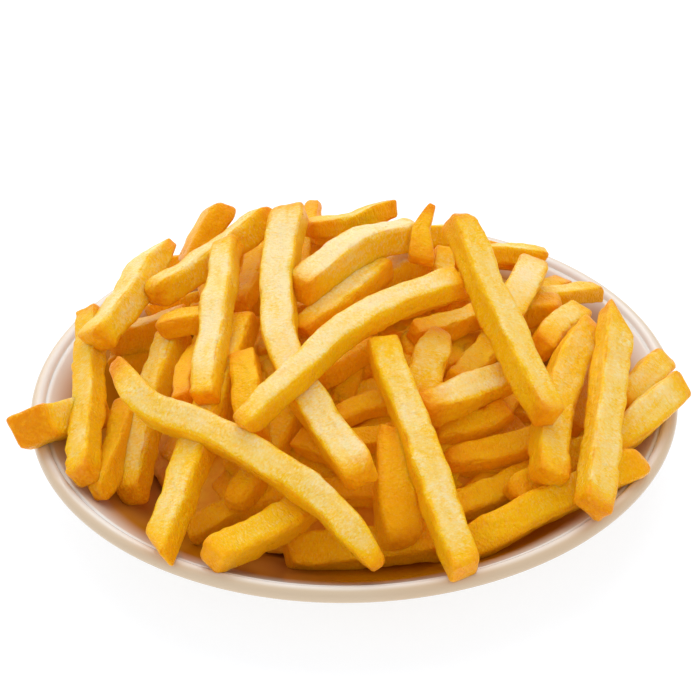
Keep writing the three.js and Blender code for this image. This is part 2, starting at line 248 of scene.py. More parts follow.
# The unevenness: cuts lean by chance over a reach, and the whole swells, sways and twists.
CUT_LEAN = 0.3
CUT_TIP = 0.35
CUT_LEAN_REACH = 8.0
PHASES = (0, 6)
SWELL = 0.04
SWELL_TURNS = (3, 9)
SWAY = 0.17
SWAY_LENGTHS = (18, 34)
TWIST = 0.16
TANGENT_STEP = 0.004
PUFF = 0.5
PUFF_UNEVEN = 0.3
HUMPS = 0.19
RIPPLES = 0.1
BITES = 0.4
DEEPEST_BITE = 1.5

# Sums of waves, each by its number of waves and their shortest and longest length.
PUFF_WAVES = (5, 3, 7)
HUMP_WAVES = (7, 7, 20)
RIPPLE_WAVES = (9, 2.6, 6)
BITE_WAVES = (6, 3, 9)
BLOTCH_WAVES = (6, 9, 26)
RIM_WAVES = (6, 4, 12)
GOLD_WAVES = (6, 4, 14)

# Browning falls off from the ends, follows the edges, and comes in blotches. Gold is added at the
# edges and ends; painted shade adds it at the sides and deep in the heap, and painted light takes
# it from faces that look up.
TIP_REACH = 3.8
TIP_BROWN = 0.72
MOST_TIP = 1.6
RIM_BROWN = 0.6
BLOTCH_BROWN = 0.12
PAINTED_SIDE_SHADE = 0.36
PAINTED_TOP_LIGHT = 0.64
TOP_POWER = 1.5
EDGE_GOLD = 0.45
TIP_GOLD = 0.6
PAINTED_DEEP_SHADE = 0.25
DEEP_START = 3.0
DEEP_END = 16.0
GRAIN_SPREAD = 900

# ---------------------------------------------------------------- core

# The core under the fries is lumpy and a little inside the solid's. Short fries are half sunk in it.
CORE_RINGS = 40
CORE_SEGMENTS = 120
CORE_INSET = 4.0
CORE_LOWERED = 5.0
CORE_SHRUNK = 2.0
CORE_LUMPS = 1.2
LUMP_WAVES = (12, 9, 24)
CORE_CLEARANCE = 0.3
CORE_BASE = FLOOR_HEIGHT + 0.6
CORE_UNDERCUT = 0.92
SUNK_COUNT = 90
SUNK_INSET = 6.0
SUNK_REACH = (9, 15)
SUNK_THICKNESS = (6.5, 8.5)
SUNK_GOLD = (0.6, 1.0)
SUNK_DEPTH = 0.5
SUNK_ROOM = 1.1
GOLDEN_ANGLE = math.pi * (3 - math.sqrt(5))


# ---------------------------------------------------------------- laying the heap


class Draws:
    """The numbers from 0 to 1 of a linear congruential series."""

    def __init__(self, seed):
        self.state = seed

    def next(self):
        """The next number: the last state times a factor plus a step, as a share of 2 to the 32."""
        self.state = (self.state * 1664525 + 1013904223) % 2**32
        return self.state / 2**32

    def between(self, low, high):
        """The next number, spread from a low to a high value."""
        return low + (high - low) * self.next()


def plate_top(radius):
    """Height of the plate's upper face: a level floor, then a wall that rises by a power."""
    wall_run = PLATE_RADIUS - LIP_WIDTH - FLOOR_RADIUS
    climb = np.clip((radius - FLOOR_RADIUS) / wall_run, 0, 1)
    wall = FLOOR_HEIGHT + (PLATE_HEIGHT - FLOOR_HEIGHT - 1) * climb**WALL_CURVE
    beyond = np.where(radius <= PLATE_RADIUS, PLATE_HEIGHT, -PLATE_HEIGHT)
    return np.where(radius <= PLATE_RADIUS - LIP_WIDTH, wall, beyond)


def resting_height(radius):
    """Lowest height that food may have: just above the inner face and the half round of the lip."""
    lip_centre = PLATE_RADIUS - LIP_ROUND
    off = np.clip((radius - lip_centre) / LIP_ROUND, -1, 1)
    lip = PLATE_HEIGHT - LIP_ROUND + LIP_ROUND * np.sqrt(1 - off**2)
    lip = np.where(off < 0, np.maximum(lip, PLATE_HEIGHT - 1), lip)
    over_plate = np.where(radius > lip_centre - LIP_ROUND, lip, plate_top(radius))
    return np.where(radius < PLATE_RADIUS, over_plate, -PLATE_HEIGHT) + REST_GAP


def dome(radius, top, edge, edge_radius):
    """Height of a dome of parabolic section: the edge plus what is left of the rise."""
    return edge + (top - edge) * (1 - (radius / edge_radius) ** 2)


def dome_fall(top, edge, edge_radius):
    """How steeply such a dome falls for each millimetre away from its axis."""
    return 2 * (top - edge) / edge_radius**2


def heap_surface(x, y):
    """Height that the topmost fries reach: a dome that falls away faster at the back."""
    radius = np.hypot(x, np.where(y > 0, y * BACK_STEEPNESS, y))
    return dome(radius, HEAP_TOP, HEAP_EDGE, HEAP_RADIUS)


def core_surface(radius):
    """Height of the core's dome, and far below everything beyond its edge."""
    core = dome(radius, CORE_TOP, CORE_EDGE, CORE_RADIUS)
    return np.where(radius < CORE_RADIUS, core, -CORE_TOP)


def cross_axes(run):
    """Two directions square to a run: one level, one upright. Works on one row or many."""
    side = np.cross(run, [0.0, 0.0, 1.0])
    side /= np.linalg.norm(side, axis=-1, keepdims=True)
    return side, np.cross(side, run)


class Fry:
    """One fry: its thickness both ways, the points of its middle line, its colour and its ends."""

    def __init__(self, thickness, points, draws, golden=0.5, ends="square square"):
        self.wide = thickness
        self.thick = thickness * draws.between(FLATTEST, 1)
        self.points = np.array(points, float)
        self.golden = golden
        self.ends = [ENDS[kind] for kind in ends.split()]
        bow = draws.between(-BOW, BOW), draws.between(-BOW, BOW)
        if len(points) == 2:
            start, end = self.points
            side, lift = cross_axes((end - start) / np.linalg.norm(end - start))
            middle = (start + end) / 2 + side * bow[0] + lift * bow[1]
            self.points = np.array([start, middle, end])

    @property
    def half(self):
        """Half the thickness, as the mean of both ways."""
        return (self.wide + self.thick) / 4

    def line(self, along):
        """Catmull-Rom curve through the points: cubic pieces whose slope at a point is half the
        step between its two neighbours, with the end steps repeated outwards."""
        points = self.points
        padded = np.vstack([2 * points[0] - points[1], points, 2 * points[-1] - points[-2]])
        place = np.clip(np.asarray(along, float), 0, 1) * (len(points) - 1)
        piece = np.minimum(place.astype(int), len(points) - 2)
        t = (place - piece)[:, None]
        before, start, end, after = (padded[piece + k] for k in range(4))
        slope_in = 0.5 * (end - before)
        slope_out = 0.5 * (after - start)
        square = -3 * start + 3 * end - 2 * slope_in - slope_out
        cube = 2 * start - 2 * end + slope_in + slope_out
        return start + slope_in * t + square * t**2 + cube * t**3

    def length(self):
        """Length of the middle line, as the sum of its chords."""
        chords = np.diff(self.line(np.linspace(0, 1, 30)), axis=0)
        return np.linalg.norm(chords, axis=1).sum()

    def samples(self):
        """Points along the middle line, about a sample's length apart."""
        reach = np.linalg.norm(self.points[0] - self.points[-1])
        return self.line(np.linspace(0, 1, math.ceil(reach / SAMPLE) + 1))

    def roll(self):
        """Turn about the run that lays the upper face along the heap's slope."""
        middle = self.line([0.5])[0]
        run = self.line([1.0])[0] - self.line([0.0])[0]
        fall = LEAN * dome_fall(HEAP_TOP, HEAP_EDGE, HEAP_RADIUS)
        normal = np.array([fall * middle[0], fall * middle[1], 1.0])
        side, lift = cross_axes(run / np.linalg.norm(run))
        return math.atan2(-normal @ side, normal @ lift)


class Laid:
    """All the fries already laid, as one array of points and one of their half thicknesses."""

    def __init__(self, fries=()):
        self.points = np.empty((0, 3))
        self.halves = np.empty(0)
        for fry in fries:
            self.add(fry)

    def add(self, fry):
        """Takes in a fry's samples, each with the fry's half thickness."""
        points = fry.samples()
        self.points = np.vstack([self.points, points])
        self.halves = np.append(self.halves, np.full(len(points), fry.half))

    def is_free(self, points, half):
        """Whether points of a fry touch neither the core nor any laid fry."""
        radius = np.hypot(points[:, 0], points[:, 1])
        if (points[:, 2] < core_surface(radius) + half * PRESSED - CORE_SINK).any():
            return False
        reach = (half + self.halves) * PRESSED
        near = np.abs(self.points - points.mean(0)).max(1) < np.ptp(points, 0).max() + reach
        gaps = points[:, None, :] - self.points[None, near]
        return not ((gaps**2).sum(2) < reach[near] ** 2).any()


def is_over_plate(points, half):
    """Whether points of a fry stay above the plate."""
    floor = plate_top(np.hypot(points[:, 0], points[:, 1]))
    return (points[:, 2] >= floor + half + PLATE_GAP).all()


def stays_inside(points, half):
    """Whether a fry stays under the heap's dome, and is buried where the front shows."""
    radius = np.hypot(points[:, 0], points[:, 1])
    if (radius > np.where(points[:, 1] > FRONT_EDGE, RIM_REACH - half, FRONT_REACH)).any():
        return False
    room = np.where(points[:, 1] > BACK_EDGE, PROUD, -BURIED)
    return (points[:, 2] < heap_surface(points[:, 0], points[:, 1]) + room).all()


def let_down(fry, laid, direction, furthest):
    """Moves a fry in steps until it meets the core, the plate or a laid fry."""
    step = direction * DROP_STEP
    points = fry.samples()
    moved = 0.0
    while moved < furthest and laid.is_free(points, fry.half):
        if not is_over_plate(points + step, fry.half):
            return False
        points = points + step
        fry.points = fry.points + step
        moved += DROP_STEP
    return True


def straight_fry(middle, heading, rise, reach, thickness, draws, golden=0.5):
    """A fry through a middle, that runs both ways by a reach along a heading and its rise."""
    run = np.array([math.cos(heading), math.sin(heading), rise])
    run *= reach / np.linalg.norm(run)
    return Fry(thickness, [middle - run, middle + run], draws, golden)


def first_try(draws, shortest, longest):
    """A fry somewhere below the heap's dome, along its slope."""
    angle = draws.between(0, 2 * math.pi)
    radius = HEAP_RADIUS * math.sqrt(draws.next())
    depth = draws.between(0, DEEPEST)
    heading = draws.between(0, math.pi)
    tilt = draws.between(-TILT, TILT)
    reach = draws.between(shortest, longest) / 2
    thickness = draws.between(THINNEST, THICKEST)
    x = radius * math.cos(angle)
    y = radius * math.sin(angle)
    fall = dome_fall(HEAP_TOP, HEAP_EDGE, HEAP_RADIUS)
    rise = tilt - fall * (x * math.cos(heading) + y * math.sin(heading))
    middle = np.array([x, y, float(heap_surface(x, y)) - depth])
    return straight_fry(middle, heading, rise, reach, thickness, draws)


def lay_by_rule(shown, draws):
    """Fries laid by rule go in wherever a try starts clear and comes to rest on another."""
    laid = Laid(shown)
    added = []
    for shortest, longest in ROUND_LENGTHS:
        for _ in range(TRIES):
            fry = first_try(draws, shortest, longest)
            points = fry.samples()
            if not stays_inside(points, fry.half) or not is_over_plate(points, fry.half):
                continue
            if laid.is_free(points, fry.half) and let_down(fry, laid, DOWN, HEAP_TOP):
                laid.add(fry)
                added.append(fry)
    return added


def settle(shown, added):
    """The listed fries slide back, from the lowest up, until they rest on others."""
    laid = Laid(added)
    for fry in sorted(shown, key=lambda fry: fry.points[0][2] + fry.points[-1][2]):
        let_down(fry, laid, SLIDE, LONGEST_SLIDE)
        laid.add(fry)


def sunk_fries(draws):
    """Fries half sunk in the core, on a spiral of even spacing with the heading drawn."""
    fries = []
    for i in range(SUNK_COUNT):
        radius = (CORE_RADIUS - SUNK_INSET) * math.sqrt((i + 0.5) / SUNK_COUNT)
        x = radius * math.cos(i * GOLDEN_ANGLE)
        y = radius * math.sin(i * GOLDEN_ANGLE)
        heading = draws.between(0, math.pi)
        reach = draws.between(*SUNK_REACH)
        fall = dome_fall(CORE_TOP, CORE_EDGE, CORE_RADIUS)
        rise = -fall * (x * math.cos(heading) + y * math.sin(heading))
        thickness = draws.between(*SUNK_THICKNESS)
        golden = draws.between(*SUNK_GOLD)
        top = float(dome(radius, CORE_TOP, CORE_EDGE, CORE_RADIUS))
        middle = np.array([x, y, top - thickness / 2 - SUNK_DEPTH])
        fry = straight_fry(middle, heading, rise, reach, thickness, draws, golden)
        if is_over_plate(fry.samples(), fry.half * SUNK_ROOM):
            fries.append(fry)
    return fries


# ---------------------------------------------------------------- meshes


def new_piece(name, vertices, faces, material, smooth=True):
    """A mesh object at the origin from an array of places in metres and its faces."""
    mesh = bpy.data.meshes.new(name)
    mesh.from_pydata(vertices.tolist(), [], faces)
    mesh.polygons.foreach_set("use_smooth", np.full(len(mesh.polygons), smooth))
    mesh.materials.append(material)
    mesh.update()
    piece = bpy.data.objects.new(name, mesh)
    bpy.context.scene.collection.objects.link(piece)
    return piece


def add_attribute(piece, name, values):
    """One number or one vector for each vertex of a piece, for its material to read."""
    vector = values.ndim == 2
    kind = "FLOAT_VECTOR" if vector else "FLOAT"
    attribute = piece.data.attributes.new(name, kind, "POINT")
    attribute.data.foreach_set("vector" if vector else "value", values.astype(np.float32).ravel())


def grid_faces(rings, around, start=0):
    """Quads between neighbouring rings of a closed tube, facing outwards where the rings run from
    the bottom up."""
    ring = np.arange(rings - 1)[:, None] * around + start
    here = np.arange(around)[None, :]
    there = (here + 1) % around
    quads = np.stack([ring + here, ring + there, ring + around + there, ring + around + here], -1)
    return quads.reshape(-1, 4)


def closed_faces(rings, around):
    """The quads of a tube whose rings stand between a first and a last pole, and the fans of
    triangles that close it there."""
    here = np.arange(around)
    after = (here + 1) % around
    first = np.zeros_like(here)
    last = np.full_like(here, 1 + rings * around)
    tail = 1 + (rings - 1) * around
    fans = np.stack([[first, 1 + after, 1 + here], [last, tail + here, tail + after]])
    fans = fans.transpose(2, 0, 1).reshape(-1, 3)
    return grid_faces(rings, around, 1).tolist() + fans.tolist()


def turned_rings(radii, heights, segments):
    """Rings of a profile turned about Z: x = r cos a, y = r sin a, z = h."""
    angle = np.linspace(0, 2 * math.pi, segments, endpoint=False)
    radii = np.asarray(radii)[:, None]
    heights = np.asarray(heights)[:, None] + 0 * angle
    return np.stack([radii * np.cos(angle), radii * np.sin(angle), heights], -1).reshape(-1, 3)


def make_plate(material):
    """The plate as one turned shell: foot ring, underside, rounded lip and inner face, between two
    poles on the axis. Its painted shade from the fries and its painted shade on the lip are kept
    for each ring."""
    radius = np.linspace(UNDERSIDE_START, UNDERSIDE_END, UNDERSIDE_RINGS)
    under = plate_top(radius - WALL_SHIFT) - WALL_THICKNESS + WALL_THINNING
    bend = np.linspace(*LIP_BENDS, LIP_RINGS)
    lip_r = PLATE_RADIUS - LIP_ROUND + LIP_ROUND * np.cos(bend)
    lip_h = PLATE_HEIGHT - LIP_ROUND + LIP_ROUND * np.sin(bend)
    inner = np.linspace(PLATE_RADIUS - LIP_WIDTH - LIP_JOIN, FLOOR_RADIUS, WALL_RINGS)
    floor_h = np.full(len(FLOOR_RINGS), FLOOR_HEIGHT)
    radii = np.concatenate([FOOT_RADII, radius, lip_r, inner, FLOOR_RINGS])
    heights = np.concatenate([FOOT_HEIGHTS, under, lip_h, plate_top(inner), floor_h])

    rings = turned_rings(radii[1:-1], heights[1:-1], PLATE_SEGMENTS)
    vertices = np.vstack([[[0, 0, heights[0]]], rings, [[0, 0, heights[-1]]]]) * MM
    faces = closed_faces(len(radii) - 2, PLATE_SEGMENTS)
    plate = new_piece("plate_glazed", vertices, faces, material)

    lip_start = len(FOOT_RADII) + len(radius)
    lip_end = lip_start + len(lip_r)
    # Painted shade and reflection of the fries, in amber on the inner face.
    fry_shaded = np.clip((FRY_SHADE_REACH - radii) / FRY_SHADE_FADE, 0, 1)
    fry_shaded[:lip_end] = 0
    # Painted shade on the lip's outer side, and partly below.
    lip_shaded = np.zeros(len(radii))
    lip_shaded[lip_start:lip_end] = np.clip((LIP_SHADE_FROM - bend) / LIP_SHADE_FADE, 0, 1)
    lip_shaded[:lip_start] = SHADE_BELOW_LIP
    for name, values in (("fry_shaded", fry_shaded), ("lip_shade", lip_shaded)):
        each = np.repeat(values[1:-1], PLATE_SEGMENTS)
        add_attribute(plate, name, np.concatenate([values[:1], each, values[-1:]]))
    return plate


def wobble(place, draws, waves, shortest, longest):
    """Sum of sines along random directions: a smooth unevenness about 0 over a surface."""
    total = np.zeros(len(place))
    for _ in range(waves):
        direction = np.array([draws.between(-1, 1) for _ in range(3)])
        direction /= np.linalg.norm(direction) + 1e-9
        length = draws.between(shortest, longest)
        phase = draws.between(0, 2 * math.pi)
        total += np.sin(place @ direction * 2 * math.pi / length + phase)
    return total / math.sqrt(waves)


def make_core(material, draws):
    """The core: a dome of parabolic section a little inside the solid's, lumpy with a sum of
    sines, kept above the plate, on a level base."""
    radius = np.linspace(0, CORE_RADIUS - CORE_INSET, CORE_RINGS)
    height = dome(
        radius, CORE_TOP - CORE_LOWERED, CORE_EDGE - CORE_SHRUNK, CORE_RADIUS - CORE_SHRUNK
    )
    top = turned_rings(radius[1:], height[1:], CORE_SEGMENTS)
    top[:, 2] += CORE_LUMPS * wobble(top, draws, *LUMP_WAVES)
    lowest = resting_height(np.hypot(top[:, 0], top[:, 1])) + CORE_CLEARANCE
    top[:, 2] = np.maximum(top[:, 2], lowest)
    base = top[-CORE_SEGMENTS:].copy()
    base[:, :2] *= CORE_UNDERCUT
    base[:, 2] = CORE_BASE
    vertices = np.vstack([[[0, 0, height[0]]], top, base, [[0, 0, CORE_BASE]]]) * MM
    faces = [face[::-1] for face in closed_faces(CORE_RINGS, CORE_SEGMENTS)]
    return new_piece("heap_core", vertices, faces, material)


def cut_section(draws):
    """The section of a fry: a square walked round its perimeter, divided by its own p-norm to round
    its corners, with the faces sunk between the edges. Returns each place across and up, how near
    it is to an edge, and the direction in which the surface faces there."""
    walk = np.array(ROUND_SIDES)
    ones = np.ones_like(walk)
    across = np.concatenate([walk, ones, -walk, -ones])
    up = np.concatenate([-ones, walk, ones, -walk])
    power = draws.between(*CORNER_POWER)
    norm = (np.abs(across) ** power + np.abs(up) ** power) ** (1 / power)
    edge = np.minimum(np.abs(across), np.abs(up))
    sink = 1 - draws.between(*FACE_SINK) * (1 - edge**2) ** 2
    across = across / norm
    up = up / norm
    facing = np.sign([across, up]) * np.abs([across, up]) ** (power - 1)
    return across * sink, up * sink, edge**EDGE_SHARPNESS, facing / np.hypot(*facing)


def end_shape(distance, end, length):
    """How far a section is drawn in at a distance from an end: (width, thickness, shift down). The
    way gone towards the end is raised to a power each time, after the cut's own rounding."""
    near = np.clip(1 - distance / CUT_ROUNDING, 0, 1)
    rounded = 1 - CUT_DRAWN_IN * near**2
    gone = np.clip(1 - distance / min(end.reach, end.share * length), 0, 1)
    narrowed = rounded * (1 - end.narrowing * gone**end.narrowing_power)
    flattened = rounded * (1 - end.flattening * gone**end.flattening_power)
    return narrowed, flattened, end.drop * gone**end.flattening_power


def swelling(along, draws):
    """A factor that swells and thins a fry along its length by a sine."""
    return 1 + SWELL * np.sin(along * draws.between(*SWELL_TURNS) + draws.between(*PHASES))


def fry_surface(fry, draws, stations=STATIONS):
    """The section carried along the middle line, drawn in at both ends, cut there a little aslant
    and closed to a pole over a few smaller rings. Sines swell it and sway it, sums of sines make
    it uneven and bite into its edges, it twists evenly, and it is flat where it lies on the
    plate. Returns what make_fries joins: places and faces, and for each place its grain, which is
    a place along, across and up in a field of its own, how browned and how golden it is."""
    length = fry.length()
    cut = CUT_SPACING * CUT_ROUNDING / length
    clear = CUT_CLEAR * CUT_ROUNDING / length
    middle = np.linspace(clear, 1 - clear, stations - 2 * len(cut))
    along = np.concatenate([cut, middle, 1 - cut[::-1]])

    across, up, edge, facing = cut_section(draws)
    wide_a, thick_a, down_a = end_shape(along * length, fry.ends[0], length)
    wide_b, thick_b, down_b = end_shape((1 - along) * length, fry.ends[1], length)
    wide = fry.wide / 2 * wide_a * wide_b * swelling(along, draws)
    thick = fry.thick / 2 * thick_a * thick_b * swelling(along, draws)
    low = -(down_a + down_b) * fry.thick / 2

    caps = len(CAP_RINGS)
    rings = np.clip(np.arange(-caps, stations + caps), 0, stations - 1)
    scale = np.concatenate([CAP_RINGS, np.ones(stations), CAP_RINGS[::-1]])
    x = across[None] * (wide[rings] * scale)[:, None]
    y = up[None] * (thick[rings] * scale)[:, None] + low[rings][:, None]
    v = np.repeat(along[rings][:, None], len(across), 1)
    lean = np.zeros_like(v)
    for end, away in zip(fry.ends, (v, 1 - v)):
        slant = end.slant + draws.between(-CUT_LEAN, CUT_LEAN)
        tip = draws.between(-CUT_TIP, CUT_TIP)
        lean += (slant * x + tip * y) * np.clip(1 - away * length / CUT_LEAN_REACH, 0, 1)

    grain = np.stack([v * length + lean, x, y], -1).reshape(-1, 3)
    body = np.repeat(scale, len(across))
    corner = np.tile(edge, len(rings))
    puff = (1 - body**2) * (PUFF + PUFF_UNEVEN * wobble(grain, draws, *PUFF_WAVES))
    puff = puff.reshape(x.shape) * np.where(v < 0.5, -1, 1)
    bump = HUMPS * wobble(grain, draws, *HUMP_WAVES) + RIPPLES * wobble(grain, draws, *RIPPLE_WAVES)
    bump -= BITES * corner * np.clip(wobble(grain, draws, *BITE_WAVES), 0, DEEPEST_BITE)
    grow = (1 + bump * body / (fry.wide / 2)).reshape(x.shape)
    turns = v[:, :1] * length * 2 * math.pi / draws.between(*SWAY_LENGTHS)
    sway = SWAY * np.sin(turns + draws.between(*PHASES))
    x = x * grow + sway
    y = y * grow + 0.5 * sway

    ahead = fry.line(np.clip(along[rings] + TANGENT_STEP, 0, 1))
    behind = fry.line(np.clip(along[rings] - TANGENT_STEP, 0, 1))
    run = (ahead - behind) / np.linalg.norm(ahead - behind, axis=1, keepdims=True)
    side, lift = cross_axes(run)
    turn = (fry.roll() + draws.between(-TWIST, TWIST) * (2 * along[rings] - 1))[:, None]
    side, lift = side * np.cos(turn) + lift * np.sin(turn), lift * np.cos(turn) - side * np.sin(turn)
    places = (
        fry.line(along[rings])[:, None]
        + side[:, None] * x[..., None]
        + lift[:, None] * y[..., None]
        + run[:, None] * (lean + puff)[..., None]
    ).reshape(-1, 3)
    places[:, 2] = np.maximum(places[:, 2], resting_height(np.hypot(places[:, 0], places[:, 1])))

    away = v.reshape(-1) * length
    tips = fry.ends[0].browning * np.exp(-away / TIP_REACH)
    tips += fry.ends[1].browning * np.exp(-(length - away) / TIP_REACH)
    upward = (side[:, 2:] * facing[0] + lift[:, 2:] * facing[1]).reshape(-1)
    browned, golden, grain = fry_crust(fry, draws, places, grain, body, corner, tips, upward)
    keep, faces = pole_ended(len(rings), len(across))
    return places[keep], faces, grain[keep], browned[keep], golden[keep]


def fry_crust(fry, draws, places, grain, body, corner, tips, upward):
    """How browned and how golden each place is, and its grain in a field of the fry's own. Browning
    is the sum of ends, uneven rims and blotches. Gold is the fry's own, plus painted shade on the
    sides, plus uneven edges, less painted light on what looks up, plus ends, plus painted shade by
    the depth below the heap's dome."""
    blotch = np.clip(wobble(grain, draws, *BLOTCH_WAVES), 0, 2)
    rim = corner * np.clip(0.5 + 0.5 * wobble(grain, draws, *RIM_WAVES), 0, 1)
    browned = TIP_BROWN * np.clip(tips, 0, MOST_TIP) + RIM_BROWN * rim + BLOTCH_BROWN * blotch
    field = np.array([draws.between(0, GRAIN_SPREAD) for _ in range(3)])
    uneven = np.clip(0.6 + 0.5 * wobble(grain, draws, *GOLD_WAVES), 0, 1.2)
    # Painted light and shade: faces that look up are paler, the sides deeper gold.
    faced = PAINTED_SIDE_SHADE - PAINTED_TOP_LIGHT * np.clip(upward, 0, 1) ** TOP_POWER + EDGE_GOLD * corner * uneven
    faced = faced * body**2 + PAINTED_SIDE_SHADE * (1 - body**2)
    # Painted shade: deeper gold further below the heap's dome.
    depth = heap_surface(places[:, 0], places[:, 1]) - places[:, 2]
    deep = np.clip((depth - DEEP_START) / (DEEP_END - DEEP_START), 0, 1)
    golden = fry.golden + faced + TIP_GOLD * np.clip(tips, 0, 1) + PAINTED_DEEP_SHADE * deep
    return browned, golden, grain + field


def pole_ended(rings, around):
    """Which places of a grid are kept when its first and last ring are each one pole, and the
    faces between the places that are kept, facing outwards."""
    keep = np.ones(rings * around, bool)
    keep[1:around] = False
    keep[-around + 1:] = False
    index = np.cumsum(keep) - 1
    index[:around] = 0
    index[-around:] = index[-around]
    faces = index[grid_faces(rings, around)[:, ::-1]]
    return keep, [list(dict.fromkeys(face)) for face in faces.tolist()]


def make_fries(name, fries, draws, material, stations=STATIONS):
    """Many fries joined into one mesh, with their grain, colour and browning as attributes."""
    parts = [fry_surface(fry, draws, stations) for fry in fries]
    places, faces, grain, browned, golden = zip(*parts)
    starts = np.cumsum([0] + [len(part) for part in places])
    joined = [[k + start for k in face] for part, start in zip(faces, starts) for face in part]
    piece = new_piece(name, np.vstack(places) * MM, joined, material)
    add_attribute(piece, "golden", np.concatenate(golden))
    add_attribute(piece, "browned", np.concatenate(browned))
    add_attribute(piece, "grain", np.vstack(grain))
    return piece


# ---------------------------------------------------------------- materials

NOISE_RANGE = (0.3, 0.7)

CRUST_TONES = [
    (0.0, (0.93, 0.74, 0.40)),
    (0.25, (0.94, 0.65, 0.18)),
    (0.5, (0.94, 0.54, 0.006)),
    (0.8, (0.94, 0.485, 0.0005)),
    (1.0, (0.92, 0.42, 0.0005)),
]
PAINTED_GLINT = (0.97, 0.80, 0.45)
CRISP = (0.80, 0.26, 0.002)
OIL_SHEEN = (1.0, 0.75, 0.15, 1.0)
# Painted shade: the core's orange stands in for crust deep in the heap's shade.
CORE_SHADE_TONES = [(0.3, (0.96, 0.40, 0.001)), (0.7, (0.99, 0.52, 0.002))]
GLAZE_TONES = [(0.3, (0.82, 0.80, 0.77)), (0.7, (0.86, 0.84, 0.81))]
LIP_SHADE_TONE = (0.70, 0.55, 0.39)
AMBER_FRY_SHADE = (0.50, 0.20, 0.002)
PAPER_TONES = [(0.3, (0.42, 0.44, 0.47)), (0.7, (0.44, 0.46, 0.49))]


class Nodes:
    """Adds the nodes of one material and links them."""

    def __init__(self, name):
        self.material = bpy.data.materials.new(name)
        self.material.use_nodes = True
        self.tree = self.material.node_tree
        self.shader = self.tree.nodes["Principled BSDF"]

    def add(self, kind, **settings):
        """A node of a kind, with its settings."""
        node = self.tree.nodes.new(kind)
        for key, value in settings.items():
            setattr(node, key, value)
        return node

    def link(self, source, target):
        """Links an output to an input."""
        self.tree.links.new(source, target)

    def finish(self, linked, fixed):
        """Links the shader's sockets or sets them, and gives the material."""
        for name, source in linked.items():
            self.link(source, self.shader.inputs[name])
        for name, value in fixed.items():
            self.shader.inputs[name].default_value = value
        return self.material

    def attribute(self, name, output="Fac"):
        """What a piece keeps for each of its places under a name."""
        return self.add("ShaderNodeAttribute", attribute_name=name).outputs[output]

    def place(self):
        """The place on the object, in metres."""
        return self.add("ShaderNodeTexCoord").outputs["Object"]

    def stretched(self, vector, factors):
        """A place times a factor each way, so a pattern on it is drawn out where one is small."""
        node = self.add("ShaderNodeVectorMath", operation="MULTIPLY")
        self.link(vector, node.inputs[0])
        node.inputs[1].default_value = factors
        return node.outputs[0]

    def noise(self, vector, scale, detail=3.0, roughness=0.55):
        """Smooth noise about 0.5, with as many waves to a unit of place as its scale."""
        node = self.add("ShaderNodeTexNoise")
        node.inputs["Scale"].default_value = scale
        node.inputs["Detail"].default_value = detail
        node.inputs["Roughness"].default_value = roughness
        self.link(vector, node.inputs["Vector"])
        return node.outputs["Fac"]

    def math(self, operation, a, b, clamp=False):
        """Two values added or multiplied, kept from 0 to 1 where it clamps."""
        node = self.add("ShaderNodeMath", operation=operation, use_clamp=clamp)
        self.link(a, node.inputs[0])
        self.link(b, node.inputs[1])
        return node.outputs[0]

    def spread(self, value, low, high, to_low=0.0, to_high=1.0):
        """A value from one range spread evenly over another, and held at its ends beyond it."""
        node = self.add("ShaderNodeMapRange", clamp=True)
        self.link(value, node.inputs["Value"])
        node.inputs["From Min"].default_value = low
        node.inputs["From Max"].default_value = high
        node.inputs["To Min"].default_value = to_low
        node.inputs["To Max"].default_value = to_high
        return node.outputs["Result"]

    def mottle(self, vector, scale, to_low, to_high, detail=3.0, roughness=0.55):
        """Noise whose usual range is spread from one value to another."""
        return self.spread(self.noise(vector, scale, detail, roughness), *NOISE_RANGE, to_low, to_high)

    def ramp(self, value, stops):
        """The colour at a value between stops of a place and a colour."""
        node = self.add("ShaderNodeValToRGB")
        elements = node.color_ramp.elements
        while len(elements) < len(stops):
            elements.new(0.5)
        for element, (place, colour) in zip(elements, stops):
            element.position = place
            element.color = (*colour, 1)
        self.link(value, node.inputs["Fac"])
        return node.outputs["Color"]

    def mix(self, share, under, over):
        """A colour covered by a share of a fixed one."""
        node = self.add("ShaderNodeMix", data_type="RGBA")
        sockets = {socket.identifier: socket for socket in node.inputs}
        self.link(share, sockets["Factor_Float"])
        self.link(under, sockets["A_Color"])
        sockets["B_Color"].default_value = (*over, 1)
        return next(socket for socket in node.outputs if socket.identifier == "Result_Color")

    def bump(self, height, distance, strength, normal=None):
        """Low relief from a height, as high as a distance in metres, on top of other relief."""
        node = self.add("ShaderNodeBump")
        node.inputs["Distance"].default_value = distance
        node.inputs["Strength"].default_value = strength
        self.link(height, node.inputs["Height"])
        if normal is not None:
            self.link(normal, node.inputs["Normal"])
        return node.outputs["Normal"]


